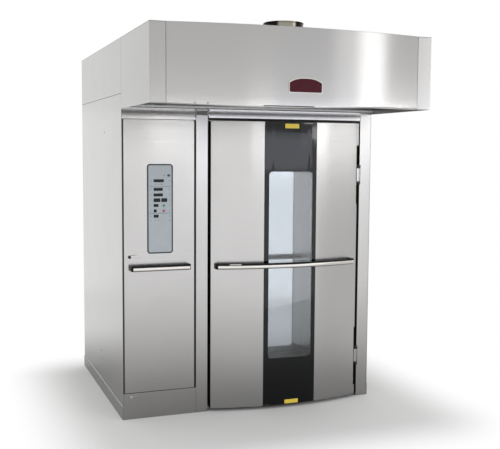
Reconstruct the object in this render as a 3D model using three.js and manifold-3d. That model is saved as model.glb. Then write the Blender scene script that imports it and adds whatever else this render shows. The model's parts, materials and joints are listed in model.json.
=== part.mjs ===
// Rotating rack oven, double-rack size: a stainless steel cabinet with a control
// compartment on the left, a bowed main door on the right and a canopy hood over both.
// Millimetres. Places are measured from the cabinet's front left bottom corner:
// x to the right, y to the back and z up. The group at the end puts the origin under
// the middle of the whole oven.
import * as THREE from 'three';
import { mergeVertices } from 'three/addons/utils/BufferGeometryUtils.js';
import Module from 'manifold-3d';

const wasm = await Module();
wasm.setup();

// Driving dimensions

const WIDTH = 1830;
const DEPTH = 1540;
const HEIGHT = 2525;
const SHEET = 2;
const SEAM = 2;
const GAP = 0.3;
const FLANGE = 28;

const HOOD = { reach: 770, sagitta: 84, bottom: 2068, cornerStrip: 95 };
const COLLAR = { x: 915, y: -520, bore: 121, wall: 3, top: 2592, flange: 148 };
const NAMEPLATE = { x: [819, 1028], z: [2142, 2224], corner: 14, thick: 3.7 };

const SIDE_SEAM = 2167;
const SKIRT = { height: 88, proud: 4 };
const BASE_TOP = 28;
const PAN_WALL = 3;
const KICK_TOP = 176;
const MULLION = [507, 590];
const POST_LEFT = 1741;
const POST_DEPTH = 45;
const FASCIA = [2006, 2081];
const LIP = { bottom: 2082, top: 2100, reach: 30 };

const CONTROL_DOOR = { x: [3, 499], z: [180, 2003], depth: 24, hinge: 503 };
const PANEL = { x: [172, 343], z: [1115, 1705], corner: 15, thick: 2 };
const CONTROL_UNIT = { x: [181, 334], z: [1124, 1696], depth: 80 };
const KEY = { radius: 7, hole: 8.2, pocket: 6, proud: 1.4, tail: 3 };
const START_KEY = [282, 1435];
const STOP_KEY = [282, 1399];
const LATCH = { x: 50, z: 1097, lever: 72 };
const CONTROL_PULL = { x: [61, 447], bottom: 1004 };
const DOOR_PULL = { x: [635, 1652], bottom: 1000 };

const MAIN_DOOR = { x: [605, 1731], z: [25, 2000], back: 28 };
const DOOR_BOW = { middle: 1168, sagitta: 83, edge: -20 };
const GLASS = { x: [968, 1354], thick: 6 };
const WINDOW = { x: [1000, 1327], z: [358, 1660], corner: 25, pane: [74, 80] };
const PLUG = { x: [675, 1675], z: [70, 1965], back: 140 };
const NOTCH = { x: 1713, zs: [[94, 522], [1423, 1845]] };
const HINGE = { x: 1731, y: -12, pin: 3.5, barrel: 6.5, knuckle: 94 };

const CHAMBER = { x: [547, 1765], y: [50, 1430], z: [32, 1990] };
const FLOOR_THICK = 4;
const JAMB = { x: [655, 1695], top: 1985, front: 45.3, thick: 3 };
const ATTIC_FLOOR = 2060;

const ROTATOR = { x: 1156, y: 740, shaft: 15, bar: 460 };
const GEAR = { module: 6, teeth: 36, z: [2122, 2147] };
const PINION_TEETH = 12;
const BLOWER = { x: 300, y: 1000, wheel: 200, z: [1800, 1890], blades: 10 };

// Materials

const steel = (color, roughness) => new THREE.MeshStandardMaterial({ color, roughness, metalness: 1 });
const plain = (color, roughness) => new THREE.MeshStandardMaterial({ color, roughness, metalness: 0 });

const brushedSteel = () => steel(0xc9cac9, 0.34);
const galvanisedSteel = () => steel(0xa9adae, 0.55);
const polishedSteel = () => steel(0xdcdcda, 0.2);
const darkSteel = () => steel(0x4a4a4c, 0.5);
const castIron = () => plain(0x3b3a38, 0.7);
const blackGrip = () => plain(0x0c0c0d, 0.45);
const blackGlass = () => plain(0x1c1e20, 0.05);
const clearGlass = () => plain(0xc9d6de, 0.04);
const siliconeRubber = () => plain(0x2a2523, 0.75);
const mineralWool = () => plain(0xb7a56c, 0.95);
const foilBoard = () => plain(0xb9bcbd, 0.5);
const motorPaint = () => plain(0x3f5560, 0.5);
const greyOverlay = () => plain(0xa0a9b0, 0.4);
const blackPlastic = () => plain(0x101113, 0.3);
const darkRed = () => plain(0x5b1a20, 0.4);

// Shapes

function block([x0, x1], [y0, y1], [z0, z1]) {
  const geometry = new THREE.BoxGeometry(x1 - x0, y1 - y0, z1 - z0);
  geometry.translate((x0 + x1) / 2, (y0 + y1) / 2, (z0 + z1) / 2);
  return geometry;
}

function shapeOf(points) {
  return new THREE.Shape(points.map(([a, b]) => new THREE.Vector2(a, b)));
}

function extruded(shape, depth) {
  return new THREE.ExtrudeGeometry(shape, { depth, bevelEnabled: false, curveSegments: 6 });
}

// An outline seen from above, extruded upwards
function planExtrusion(points, [z0, z1]) {
  const geometry = extruded(shapeOf(points), z1 - z0);
  geometry.translate(0, 0, z0);
  return geometry;
}

// An outline in y and z, extruded along x
function profileAlongX(points, [x0, x1]) {
  const geometry = extruded(shapeOf(points), x1 - x0);
  geometry.applyMatrix4(new THREE.Matrix4().set(0, 0, 1, x0, 1, 0, 0, 0, 0, 1, 0, 0, 0, 0, 0, 1));
  return geometry;
}

// A rounded rectangle in x and z, extruded through y
function roundedPlate([x0, x1], [z0, z1], radius, [y0, y1]) {
  const shape = new THREE.Shape();
  shape.absarc(x1 - radius, z1 - radius, radius, 0, Math.PI / 2);
  shape.absarc(x0 + radius, z1 - radius, radius, Math.PI / 2, Math.PI);
  shape.absarc(x0 + radius, z0 + radius, radius, Math.PI, 1.5 * Math.PI);
  shape.absarc(x1 - radius, z0 + radius, radius, 1.5 * Math.PI, 2 * Math.PI);
  const geometry = extruded(shape, y1 - y0);
  geometry.rotateX(Math.PI / 2);
  geometry.translate(0, y1, 0);
  return geometry;
}

// A round bar standing up
function upright([x, y], [z0, z1], radius, sides = 24) {
  const geometry = new THREE.CylinderGeometry(radius, radius, z1 - z0, sides);
  geometry.rotateX(Math.PI / 2);
  geometry.translate(x, y, (z0 + z1) / 2);
  return geometry;
}

// A round bar from front to back
function frontal([x, z], [y0, y1], radius, sides = 24) {
  const geometry = new THREE.CylinderGeometry(radius, radius, y1 - y0, sides);
  geometry.translate(x, (y0 + y1) / 2, z);
  return geometry;
}

function toSolid(geometry) {
  const bare = geometry.index ? geometry.clone() : geometry;
  bare.deleteAttribute('normal');
  bare.deleteAttribute('uv');
  const merged = mergeVertices(bare, 1e-4);
  return new wasm.Manifold(new wasm.Mesh({
    numProp: 3,
    vertProperties: new Float32Array(merged.attributes.position.array),
    triVerts: new Uint32Array(merged.index.array),
  }));
}

function toGeometry(solid) {
  const mesh = solid.getMesh();
  const geometry = new THREE.BufferGeometry();
  geometry.setAttribute('position', new THREE.BufferAttribute(new Float32Array(mesh.vertProperties), 3));
  geometry.setIndex(new THREE.BufferAttribute(new Uint32Array(mesh.triVerts), 1));
  geometry.computeVertexNormals();
  return geometry;
}

function join(...geometries) {
  return toGeometry(geometries.map(toSolid).reduce((whole, next) => whole.add(next)));
}

function cut(geometry, ...tools) {
  return toGeometry(tools.map(toSolid).reduce((whole, tool) => whole.subtract(tool), toSolid(geometry)));
}

function common(geometry, other) {
  return toGeometry(toSolid(geometry).intersect(toSolid(other)));
}

const grown = ([low, high], margin) => [low - margin, high + margin];
const around = (middle, reach) => [middle - reach, middle + reach];
const mirrored = (points) => points.map(([x, y]) => [WIDTH - x, y]);

// The main door and the hood's front are bowed: seen from above, each is an arc of one radius

const BOW_STEP = 75;

function bowOver({ middle, sagitta, edge }, width) {
  const radius = ((width / 2) ** 2 + sagitta ** 2) / (2 * sagitta);
  return { middle, radius, centre: edge - sagitta + radius };
}

const doorBow = bowOver(DOOR_BOW, MAIN_DOOR.x[1] - MAIN_DOOR.x[0]);
const hoodArc = { middle: WIDTH / 2, sagitta: HOOD.sagitta, edge: -HOOD.reach };
const hoodBow = bowOver(hoodArc, WIDTH - 2 * HOOD.cornerStrip);

// A bow's y at x, moved outwards by the offset
function bowAt(x, offset = 0, bow = doorBow) {
  return bow.centre - Math.sqrt((bow.radius + offset) ** 2 - (x - bow.middle) ** 2);
}

function bowLine([x0, x1], offset, bow = doorBow) {
  const steps = Math.max(3, Math.round((x1 - x0) / BOW_STEP));
  return Array.from({ length: steps + 1 }, (_, step) => {
    const x = x0 + ((x1 - x0) * step) / steps;
    return [x, bowAt(x, offset, bow)];
  });
}

// Everything between the door's bow and a flat back
function bowBody([x0, x1], offset, back, zRange) {
  return planExtrusion([...bowLine([x0, x1], offset), [x1, back], [x0, back]], zRange);
}

// A bowed sheet between two offsets
function bowSheet(xRange, outer, inner, zRange, bow = doorBow) {
  return planExtrusion([...bowLine(xRange, outer, bow), ...bowLine(xRange, inner, bow).reverse()], zRange);
}

const oven = new THREE.Group();

function piece(name, material, geometry) {
  const mesh = new THREE.Mesh(geometry, material);
  mesh.name = name;
  oven.add(mesh);
}

// Cabinet

const underRoof = HEIGHT - SHEET - GAP;
const backSheet = DEPTH - SHEET - GAP;
const innerWidth = [SHEET + GAP, WIDTH - SHEET - GAP];
const BASE_DEPTH = [POST_DEPTH + 5, backSheet - SHEET - 1];

// A side sheet with a return inside its front and back edges
function sidePlan(frontReturn) {
  const reach = SHEET + 20;
  return [
    [0, 0], [SHEET, 0], [SHEET, frontReturn], [reach, frontReturn],
    [reach, frontReturn + SHEET], [SHEET, frontReturn + SHEET],
    [SHEET, backSheet - SHEET], [reach, backSheet - SHEET], [reach, backSheet], [0, backSheet],
  ];
}

function addSides() {
  const left = sidePlan(FLANGE + SHEET);
  const right = mirrored(sidePlan(POST_DEPTH + 1));
  const lower = [0, SIDE_SEAM - SEAM / 2];
  const upper = [SIDE_SEAM + SEAM / 2, underRoof];
  const skirt = (xRange) => block(xRange, [0, backSheet], [0, SKIRT.height]);
  const leftSkirt = skirt([-SKIRT.proud, SHEET / 2]);
  const rightSkirt = skirt([WIDTH - SHEET / 2, WIDTH + SKIRT.proud]);
  piece('side_panel_left', brushedSteel(), join(planExtrusion(left, lower), leftSkirt));
  piece('side_panel_right', brushedSteel(), join(planExtrusion(right, lower), rightSkirt));
  piece('upper_side_panel_left', brushedSteel(), planExtrusion(left, upper));
  piece('upper_side_panel_right', brushedSteel(), planExtrusion(right, upper));
}

function addShell() {
  const pan = block(innerWidth, BASE_DEPTH, [0, BASE_TOP]);
  const inside = block(grown(innerWidth, -PAN_WALL), grown(BASE_DEPTH, -PAN_WALL), [PAN_WALL, BASE_TOP + 1]);
  piece('base_frame', galvanisedSteel(), cut(pan, inside));
  piece('rear_panel', brushedSteel(), block([0, WIDTH], [DEPTH - SHEET, DEPTH], [0, underRoof]));
  piece('roof_panel', brushedSteel(), block([0, WIDTH], [0, DEPTH], [HEIGHT - SHEET, HEIGHT]));
  const { bottom, top, reach } = LIP;
  const frontWall = [
    [-reach, bottom], [SHEET, bottom], [SHEET, underRoof], [0, underRoof],
    [0, bottom + SHEET], [SHEET - reach, bottom + SHEET], [SHEET - reach, top], [-reach, top],
  ];
  piece('attic_front_panel', brushedSteel(), profileAlongX(frontWall, innerWidth));
}

// A post folded from sheet, open at both ends
function boxPost([x0, x1]) {
  const outside = block([x0, x1], [0, POST_DEPTH], [0, FASCIA[1]]);
  const inside = block([x0 + SHEET, x1 - SHEET], [SHEET, POST_DEPTH - SHEET], [-1, FASCIA[1] + 1]);
  return cut(outside, inside);
}

// A face sheet with a flange to the back along its top and bottom
function facePan(xRange, [z0, z1]) {
  const profile = [
    [0, z0], [FLANGE, z0], [FLANGE, z0 + SHEET], [SHEET, z0 + SHEET],
    [SHEET, z1 - SHEET], [FLANGE, z1 - SHEET], [FLANGE, z1], [0, z1],
  ];
  return profileAlongX(profile, xRange);
}

function addFront() {
  const controlWidth = [innerWidth[0], MULLION[0] - SEAM / 2];
  const doorWidth = [MULLION[1] + SEAM / 2, POST_LEFT - SEAM / 2];
  const screw = frontal([56, 150], [-3, SHEET], 11, 16);
  piece('mullion_post', brushedSteel(), boxPost(MULLION));
  piece('right_post', brushedSteel(), boxPost([POST_LEFT, innerWidth[1]]));
  piece('fascia_over_controls', brushedSteel(), facePan(controlWidth, FASCIA));
  piece('fascia_over_door', brushedSteel(), facePan(doorWidth, FASCIA));
  piece('kick_plate', brushedSteel(), join(facePan(controlWidth, [0, KICK_TOP]), screw));
}

// Hood

function addHood() {
  const front = -HOOD.reach;
  const zRange = [HOOD.bottom, underRoof];
  const side = [
    [0, front], [HOOD.cornerStrip, front], [HOOD.cornerStrip, front + SHEET],
    [SHEET, front + SHEET], [SHEET, -GAP], [0, -GAP],
  ];
  piece('hood_side_left', brushedSteel(), planExtrusion(side, zRange));
  piece('hood_side_right', brushedSteel(), planExtrusion(mirrored(side), zRange));
  const [bottom, top] = zRange;
  const between = grown([HOOD.cornerStrip, WIDTH - HOOD.cornerStrip], -SEAM);
  const panel = join(
    bowSheet(between, 0, -SHEET, zRange, hoodBow),
    bowSheet(between, 0, -FLANGE, [bottom, bottom + SHEET], hoodBow),
    bowSheet(between, 0, -FLANGE, [top - SHEET, top], hoodBow),
  );
  piece('hood_front_panel', brushedSteel(), panel);
  const roof = [[0, -GAP], [0, front], ...bowLine(between, 0, hoodBow), [WIDTH, front], [WIDTH, -GAP]];
  const flueHole = upright([COLLAR.x, COLLAR.y], [HEIGHT - 10, HEIGHT + 10], COLLAR.bore, 32);
  piece('hood_roof', brushedSteel(), cut(planExtrusion(roof, [HEIGHT - SHEET, HEIGHT]), flueHole));
  const { x, z, corner, thick } = NAMEPLATE;
  const outline = roundedPlate(x, z, corner, grown([front - HOOD.sagitta, front], FLANGE));
  piece('blank_plate', darkRed(), common(outline, bowSheet(x, GAP + thick, GAP, z, hoodBow)));
}

function addFlueCollar() {
  const { bore, wall, flange, top } = COLLAR;
  const bottom = HEIGHT + GAP;
  const ring = [
    [bore, bottom], [flange, bottom], [flange, bottom + SHEET],
    [bore + wall, bottom + SHEET], [bore + wall, top], [bore, top], [bore, bottom],
  ];
  const collar = new THREE.LatheGeometry(ring.map(([r, z]) => new THREE.Vector2(r, z)), 32);
  collar.rotateX(Math.PI / 2);
  collar.translate(COLLAR.x, COLLAR.y, 0);
  piece('flue_collar', brushedSteel(), collar);
}

// Control door, hinged on the mullion side

function addControlDoor() {
  const { x, z, depth } = CONTROL_DOOR;
  const opening = block(grown(CONTROL_UNIT.x, 1), [-50, 50], grown(CONTROL_UNIT.z, 1));
  const latchHole = frontal([LATCH.x, LATCH.z], [-50, 50], 6.5, 16);
  const pan = cut(
    block(x, [0, depth], z),
    block(grown(x, -SHEET), [SHEET, depth + 1], grown(z, -SHEET)),
    opening,
    latchHole,
  );
  const filling = block(grown(x, -SHEET - GAP), [SHEET + GAP, depth], grown(z, -SHEET - GAP));
  piece('control_door_skin', brushedSteel(), pan);
  piece('control_door_insulation', foilBoard(), cut(filling, opening, latchHole));
  const hinge = upright([CONTROL_DOOR.hinge, 0], grown(z, -4), 2, 10);
  piece('control_door_hinge_rod', darkSteel(), hinge);
  // Its cam points up while the lever is level, and turns in behind the side panel's return
  const cam = block([LATCH.x - 8, LATCH.x + 8], [34, 37], [LATCH.z - 8, LATCH.z + 38]);
  piece('latch_lever', polishedSteel(), join(
    frontal([LATCH.x, LATCH.z], [-9, 37], 5.5, 16),
    frontal([LATCH.x, LATCH.z], [-5, -GAP], 11, 16),
    roundedPlate([LATCH.x - 7, LATCH.x + LATCH.lever], [LATCH.z - 7, LATCH.z + 7], 6, [-13, -8]),
    cam,
  ));
}

// Rows of windows in the control panel: left edge, right edge, middle height, height
const DISPLAY_WINDOWS = [
  [214, 282, 1600, 18], [214, 275, 1543, 18], [214, 275, 1506, 18], [214, 258, 1471, 24],
  [266, 305, 1471, 24], [214, 245, 1436, 18], [214, 233, 1400, 18], [214, 246, 1365, 18],
];

function addControlPanel() {
  const keys = [START_KEY, STOP_KEY];
  const windows = DISPLAY_WINDOWS.map(([left, right, middle, height]) => {
    return block([left, right], [-10, 10], [middle - height / 2, middle + height / 2]);
  });
  const holes = keys.map((place) => frontal(place, [-10, 10], KEY.hole, 16));
  const plate = roundedPlate(PANEL.x, PANEL.z, PANEL.corner, [-GAP - PANEL.thick, -GAP]);
  piece('control_panel_overlay', greyOverlay(), cut(plate, ...windows, ...holes));
  const unit = block(CONTROL_UNIT.x, [0, CONTROL_UNIT.depth], CONTROL_UNIT.z);
  const pockets = keys.map((place) => frontal(place, [-1, KEY.pocket], KEY.hole, 16));
  piece('control_unit', blackPlastic(), cut(unit, ...pockets));
  const face = -GAP - PANEL.thick - KEY.proud;
  piece('start_key', plain(0x2f8f4a, 0.45), frontal(START_KEY, [face, KEY.tail], KEY.radius, 16));
  piece('stop_key', plain(0xb8322c, 0.45), frontal(STOP_KEY, [face, KEY.tail], KEY.radius, 16));
}

// Door pulls: a steel bar along the face of a black grip that bends back to the door

const PULL = { grip: [44, 58], bar: [58.3, 66], gripHeight: 38, barHeight: 28, foot: 20, splay: 12 };

function addPull(name, { x: [x0, x1], bottom }, offsetAt) {
  const at = (x, offset) => [x, offsetAt(x, offset)];
  const steps = Math.max(1, Math.round((x1 - x0) / BOW_STEP));
  const line = (from, to, offset) => Array.from({ length: steps + 1 }, (_, step) => {
    return at(from + ((to - from) * step) / steps, offset);
  });
  const { grip, bar, foot, splay } = PULL;
  const outline = [
    ...line(x0, x1, grip[1]), at(x1 + splay, GAP), at(x1 + splay - foot, GAP),
    ...line(x1 - foot, x0 + foot, grip[0]), at(x0 - splay + foot, GAP), at(x0 - splay, GAP),
  ];
  const strip = [...line(x0, x1, bar[1]), ...line(x1, x0, bar[0])];
  piece(`${name}_grip`, blackGrip(), planExtrusion(outline, [bottom, bottom + PULL.gripHeight]));
  piece(`${name}_bar`, polishedSteel(), planExtrusion(strip, [bottom, bottom + PULL.barHeight]));
}

// Main door

function hingeNotches() {
  return NOTCH.zs.map((zRange) => block([NOTCH.x, MAIN_DOOR.x[1] + 5], [-100, 60], zRange));
}

// One steel side of the door: a bowed pan, open to the back and to the glass
function doorSkin([x0, x1], glassOnRight) {
  const { z, back } = MAIN_DOOR;
  const inside = glassOnRight ? [x0 + SHEET, x1 + 1] : [x0 - 1, x1 - SHEET];
  const edge = glassOnRight ? [x1 - SHEET, x1] : [x0, x0 + SHEET];
  const pan = cut(
    bowBody([x0, x1], 0, back, z),
    bowBody(inside, -SHEET, back + 1, grown(z, -SHEET)),
  );
  return cut(join(pan, bowSheet(edge, 0, -10, z)), ...hingeNotches());
}

function addDoorFace() {
  const [left, right] = MAIN_DOOR.x;
  const [glassLeft, glassRight] = GLASS.x;
  piece('door_skin_left', brushedSteel(), doorSkin([left, glassLeft - SEAM], true));
  piece('door_skin_right', brushedSteel(), doorSkin([glassRight + SEAM, right], false));
  piece('door_glass', blackGlass(), bowSheet(GLASS.x, 0, -GLASS.thick, MAIN_DOOR.z));
}

// The door's thickness behind its face: a rim, the plug that fills the opening, the window
function addDoorInside() {
  const { x, z, back } = MAIN_DOOR;
  const behindFace = -14;
  const window = (margin, yRange) => {
    return roundedPlate(grown(WINDOW.x, margin), grown(WINDOW.z, margin), WINDOW.corner, yRange);
  };
  const rim = block(x, [back + GAP, back + GAP + SHEET], z);
  const plug = block(PLUG.x, [back + GAP, PLUG.back], PLUG.z);
  const plugSpace = block(grown(PLUG.x, -SHEET), [back - 1, PLUG.back - SHEET], grown(PLUG.z, -SHEET));
  const tunnel = common(
    window(SHEET, [-150, PLUG.back]),
    bowBody(x, behindFace, PLUG.back, z),
  );
  const liner = join(cut(join(rim, plug), plugSpace), tunnel);
  const opening = window(0, [-150, PLUG.back + 10]);
  piece('door_liner', brushedSteel(), cut(liner, opening, ...hingeNotches()));

  const front = bowBody([x[0] + 3, NOTCH.x - 2], behindFace, back, grown(z, -SHEET - GAP));
  const filling = grown([PLUG.x[0], PLUG.x[1]], -SHEET - GAP);
  const behind = block(filling, [back - 1, PLUG.back - SHEET - GAP], grown(PLUG.z, -SHEET - GAP));
  const clearance = SHEET + GAP;
  const cutOut = block(grown(WINDOW.x, clearance), [-150, 200], grown(WINDOW.z, clearance));
  piece('door_core', mineralWool(), cut(join(front, behind), cutOut));

  const pane = roundedPlate(grown(WINDOW.x, -GAP), grown(WINDOW.z, -GAP), WINDOW.corner, WINDOW.pane);
  piece('door_inner_pane', clearGlass(), pane);

  const sealFront = back + SHEET + 2 * GAP;
  const seal = cut(
    block([620, NOTCH.x - 3], [sealFront, JAMB.front - GAP], [40, 1994]),
    block([636, NOTCH.x - 15], [0, 60], [52, 1988]),
  );
  piece('door_gasket', siliconeRubber(), seal);
}

// Each hinge has a knuckle on the door's edge, on a pin between two arms of the post
function addDoorHinge(name, [z0, z1]) {
  const middle = (z0 + z1) / 2;
  const barrelZ = around(middle, HINGE.knuckle / 2);
  const pinZ = grown(barrelZ, 24);
  const centre = [HINGE.x, HINGE.y];
  const leaf = block([NOTCH.x - 1, HINGE.x - 4.5], [-16, 20], barrelZ);
  const knuckle = join(upright(centre, barrelZ, HINGE.barrel, 16), leaf);
  const bore = upright(centre, grown(barrelZ, 5), HINGE.pin + 0.5, 12);
  piece(`${name}_knuckle`, polishedSteel(), cut(knuckle, bore));
  const wall = [POST_LEFT - GAP - 2.5, POST_LEFT - GAP];
  const arm = (zRange) => block([HINGE.x - 6, wall[1]], [-18, -6], zRange);
  const bracket = join(
    upright(centre, pinZ, HINGE.pin, 12),
    arm([pinZ[0], barrelZ[0] - 4]),
    arm([barrelZ[1] + 4, pinZ[1]]),
    block(wall, [-15, 26], pinZ),
  );
  piece(`${name}_bracket`, darkSteel(), bracket);
}

// Baking chamber

function addChamber() {
  const { x, y, z } = CHAMBER;
  const wallFront = JAMB.front + JAMB.thick + GAP;
  const outside = [x[0] - SHEET, x[1] + SHEET];
  const floorTop = z[0] + GAP;
  const depth = [wallFront, y[1] + SHEET];
  const walls = [
    [x[0], y[1]], [x[1], y[1]], [x[1], wallFront], [x[1] + SHEET, wallFront],
    [x[1] + SHEET, y[1] + SHEET], [x[0], y[1] + SHEET],
  ];
  const wallZ = [floorTop, z[1] - GAP];
  piece('chamber_liner', brushedSteel(), planExtrusion(walls, wallZ));
  const floor = block(outside, [JAMB.front, y[1] + SHEET], [z[0] - FLOOR_THICK + GAP, z[0]]);
  piece('chamber_floor', brushedSteel(), floor);
  const shaftHole = upright([ROTATOR.x, ROTATOR.y], [z[1] - 10, z[1] + 10], ROTATOR.shaft + 3, 24);
  piece('chamber_ceiling', brushedSteel(), cut(block(outside, depth, [z[1], z[1] + SHEET]), shaftHole));
  const frame = cut(
    block(outside, [JAMB.front, JAMB.front + JAMB.thick], [floorTop, ATTIC_FLOOR]),
    block(JAMB.x, [0, 100], [0, JAMB.top]),
  );
  piece('jamb_frame', brushedSteel(), frame);
  const lamp = block([x[1] - GAP - 8, x[1] - GAP], [300, 360], [500, 1600]);
  piece('chamber_lamp', clearGlass(), lamp);
}

const LOUVRE = { rows: 14, columns: 4, slot: [250, 16], first: [180, 200], pitch: [320, 125] };

function addLouvrePanel() {
  const { x, y, z } = CHAMBER;
  const front = JAMB.front + JAMB.thick + GAP;
  const panel = block([x[0] - SHEET, x[0] - GAP], [front, y[1] + SHEET], [z[0] + GAP, z[1] - GAP]);
  const slots = [];
  for (let column = 0; column < LOUVRE.columns; column += 1) {
    for (let row = 0; row < LOUVRE.rows; row += 1) {
      const left = LOUVRE.first[0] + column * LOUVRE.pitch[0];
      const bottom = LOUVRE.first[1] + row * LOUVRE.pitch[1];
      const slotY = [left, left + LOUVRE.slot[0]];
      slots.push(block([x[0] - 20, x[0] + 20], slotY, [bottom, bottom + LOUVRE.slot[1]]));
    }
  }
  piece('air_louvre_panel', brushedSteel(), cut(panel, ...slots));
}

// One jacket round the chamber and the heat exchanger's space beside it, and under both
function addInsulation() {
  const { x, y, z } = CHAMBER;
  const front = JAMB.front + JAMB.thick + 2 * GAP;
  const back = BASE_DEPTH[1];
  const bottom = BASE_TOP + GAP;
  const top = ATTIC_FLOOR;
  const inPan = PAN_WALL + GAP;
  const underCeiling = z[1] + SHEET + GAP;
  const chamberBack = y[1] + SHEET + GAP;
  const besideChamber = x[0] - SHEET - GAP;
  const jacket = join(
    block([x[1] + SHEET + GAP, innerWidth[1]], [front, back], [bottom, top]),
    block(innerWidth, [chamberBack, back], [bottom, top]),
    block(innerWidth, [front, back], [underCeiling, top]),
    block([innerWidth[0], 60], [480, back], [bottom, top]),
    block([innerWidth[0], besideChamber], [480, 540], [bottom, top]),
    block([500, besideChamber], [front, 490], [bottom, top]),
    block(grown(innerWidth, -inPan), grown(BASE_DEPTH, -inPan), [inPan, BASE_TOP]),
    block([innerWidth[0] + inPan, 60], [500, 1400], [BASE_TOP / 2, bottom + 10]),
  );
  piece('insulation_jacket', mineralWool(), cut(
    jacket,
    upright([ROTATOR.x, ROTATOR.y], [1900, 2100], 45, 24),
    upright([BLOWER.x, BLOWER.y], [1900, 2100], 30, 20),
    frontal([BURNER.x, BURNER.z], [400, 600], BURNER.tube + 5, 20),
  ));
}

// Heat, air and steam

const EXCHANGER = { x: [110, 350], y: [640, 1340], lower: [300, 520], upper: [1440, 1620], tube: 28 };
const BURNER = { x: 230, z: 410, tube: 44 };

// Two headers joined by tubes, hollow throughout: the burner fires into the lower one
function addHeatExchanger() {
  const { x, y, lower, upper, tube } = EXCHANGER;
  const wall = 3;
  const outside = [block(x, y, lower), block(x, y, upper)];
  const inside = [
    block(grown(x, -wall), grown(y, -wall), grown(lower, -wall)),
    block(grown(x, -wall), grown(y, -wall), grown(upper, -wall)),
    frontal([BURNER.x, BURNER.z], [y[0] - 20, y[0] + 20], BURNER.tube + 2, 20),
  ];
  for (const tubeX of [150, 230, 310]) {
    for (const tubeY of [710, 850, 990, 1130, 1270]) {
      outside.push(upright([tubeX, tubeY], [lower[1] - 1, upper[0] + 1], tube, 12));
      inside.push(upright([tubeX, tubeY], [lower[1] - 10, upper[0] + 10], tube - wall, 12));
    }
  }
  piece('heat_exchanger', darkSteel(), cut(join(...outside), ...inside));
}

function addBurner() {
  const { x, z, tube } = BURNER;
  const body = block([x - 90, x + 90], [300, 470], [z - 100, z + 90]);
  const blastTube = frontal([x, z], [460, EXCHANGER.y[0] + 10], tube, 20);
  const bore = frontal([x, z], [400, EXCHANGER.y[0] + 20], tube - 4, 20);
  piece('burner', motorPaint(), cut(join(body, blastTube), bore));
}

// Slabs on edge in a tray: water runs over them and flashes to steam
function addSteamGenerator() {
  const tray = block([100, 500], [640, 1340], [60, 80]);
  const slabs = [0, 1, 2, 3, 4, 5].map((slab) => {
    const left = 115 + slab * 65;
    return block([left, left + 35], [660, 1320], [75, 240]);
  });
  piece('steam_generator', castIron(), join(tray, ...slabs));
}

function addBlower() {
  const { x, y, wheel, z, blades } = BLOWER;
  const shaft = upright([x, y], [z[1] - 60, ATTIC_FLOOR + 50], 12.5, 20);
  const hub = upright([x, y], [z[1] - 60, z[1]], 32, 20);
  const backPlate = upright([x, y], [z[1] - 4, z[1]], wheel, 36);
  const ring = cut(
    upright([x, y], [z[0], z[0] + 4], wheel, 36),
    upright([x, y], [z[0] - 1, z[0] + 6], wheel - 55, 36),
  );
  const vanes = Array.from({ length: blades }, (_, blade) => {
    const vane = block([wheel - 62, wheel - 6], [-2, 2], [z[0] + 1, z[1] - 1]);
    vane.translate(-wheel + 34, 0, 0);
    vane.rotateZ(Math.PI / 5);
    vane.translate(wheel - 34, 0, 0);
    vane.rotateZ((2 * Math.PI * blade) / blades);
    vane.translate(x, y, 0);
    return vane;
  });
  piece('blower_wheel', galvanisedSteel(), join(shaft, hub, backPlate, ring, ...vanes));

  const plateX = [60 + GAP, CHAMBER.x[0] - SHEET - GAP];
  const inlet = join(
    block(plateX, [780, 1220], [1740, 1743]),
    upright([x, y], [1741, 1780], 123, 32),
  );
  piece('blower_inlet_plate', galvanisedSteel(), cut(inlet, upright([x, y], [1700, 1800], 120, 32)));

  const motor = join(
    block([x - 130, x + 130], [y - 130, y + 130], [ATTIC_FLOOR + GAP, ATTIC_FLOOR + 10]),
    upright([x, y], [ATTIC_FLOOR + 5, 2290], 90, 28),
    upright([x, y], [2285, 2320], 75, 28),
  );
  const bore = upright([x, y], [ATTIC_FLOOR - 10, ATTIC_FLOOR + 60], 14, 20);
  piece('blower_motor', motorPaint(), cut(motor, bore));
}

// Rack rotator above the chamber

const pitchRadius = (teeth) => (GEAR.module * teeth) / 2;
const gearDistance = pitchRadius(GEAR.teeth) + pitchRadius(PINION_TEETH) + 0.5;
const PINION_X = ROTATOR.x - gearDistance;

// A gear's outline with straight-sided teeth, the first one centred on the given angle
function gearOutline([x, y], teeth, firstTooth) {
  const pitch = pitchRadius(teeth);
  const root = pitch - 1.15 * GEAR.module;
  const tip = pitch + 0.85 * GEAR.module;
  const step = (2 * Math.PI) / teeth;
  const corners = [[-0.31, root], [-0.12, tip], [0.12, tip], [0.31, root]];
  return Array.from({ length: teeth }, (_, tooth) => corners.map(([share, radius]) => {
    const angle = firstTooth + (tooth + share) * step;
    return [x + radius * Math.cos(angle), y + radius * Math.sin(angle)];
  })).flat();
}

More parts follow.
